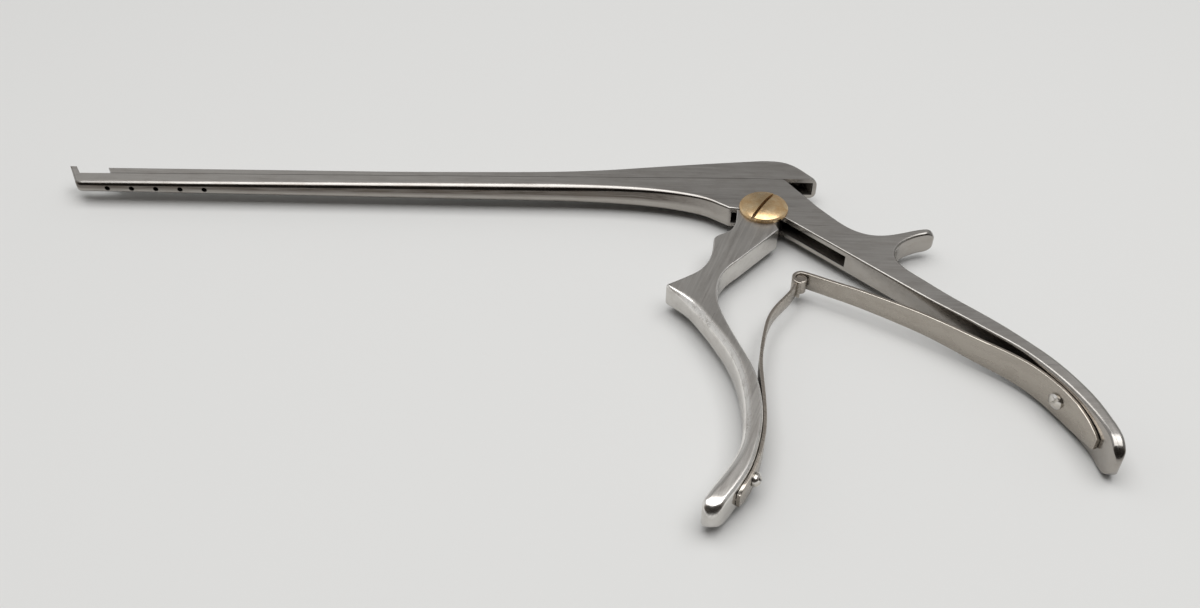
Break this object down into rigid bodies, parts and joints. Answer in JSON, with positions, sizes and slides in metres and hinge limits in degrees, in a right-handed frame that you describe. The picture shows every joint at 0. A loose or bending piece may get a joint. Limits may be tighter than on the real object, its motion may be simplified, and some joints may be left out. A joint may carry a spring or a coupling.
{
  "type": "bone rongeur",
  "caption": "Sliding-shaft bone rongeur with a slanted up-biting footplate, squeeze handles on a large slotted pivot screw and a double leaf spring.",
  "frame": {"origin": "on the pivot axis, in the plane of the right flank of the body, on which the instrument lies", "axes": "+Z out of the left flank, through the thickness; +X from the jaws along the shaft to the handles; +Y from the lower shaft to the slide"},
  "size_m": [0.2861, 0.1335, 0.012],
  "materials": {
    "satin_steel": "satin, fine lengthwise grain",
    "spring_steel": "satin, warmer tone",
    "screw_steel": "polished",
    "gold_coating": "polished, gold-coloured hard coating"
  },
  "bodies": {
    "frame": {"frame": "satin_steel", "pivot_screw": "gold_coating", "slide_stud": "screw_steel", "rear_spring_screw": "screw_steel", "rear_spring_peg": "screw_steel"},
    "slide": {"slide": "satin_steel"},
    "trigger": {"trigger": "satin_steel", "front_spring_screw": "screw_steel", "front_spring_peg": "screw_steel"},
    "rear_leaf": {"rear_spring": "spring_steel"},
    "front_leaf": {"front_spring": "spring_steel", "spring_barrel_pin": "screw_steel"}
  },
  "joints": [
    {"name": "trigger_pivot", "type": "hinge", "parent": "frame", "child": "trigger", "pos_m": [0, 0, 0.0035], "axis": [0, 0, 1], "range_deg": [0, 30.5], "stiffness_Nm_per_rad": 1.2, "springref_deg": -14.32},
    {"name": "slide_stroke", "type": "slide", "parent": "frame", "child": "slide", "axis": [-1, 0, 0], "range_m": [0, 0.0095]},
    {"name": "rear_leaf_flex", "type": "hinge", "parent": "frame", "child": "rear_leaf", "pos_m": [0.0565, -0.0572, 0.0035], "axis": [0, 0, 1], "range_deg": [-8, 0.2], "deforming": ["rear_spring"]},
    {"name": "front_leaf_flex", "type": "hinge", "parent": "trigger", "child": "front_leaf", "pos_m": [-0.0052, -0.0665, 0.0035], "axis": [0, 0, 1], "range_deg": [-0.2, 18], "deforming": ["front_spring"]}
  ],
  "couplings": [
    {"joint": "slide_stroke", "follows": "trigger_pivot", "m_per_rad": 0.017787},
    {"joint": "rear_leaf_flex", "follows": "trigger_pivot", "ratio": -0.2315},
    {"joint": "front_leaf_flex", "follows": "trigger_pivot", "ratio": 0.486}
  ]
}
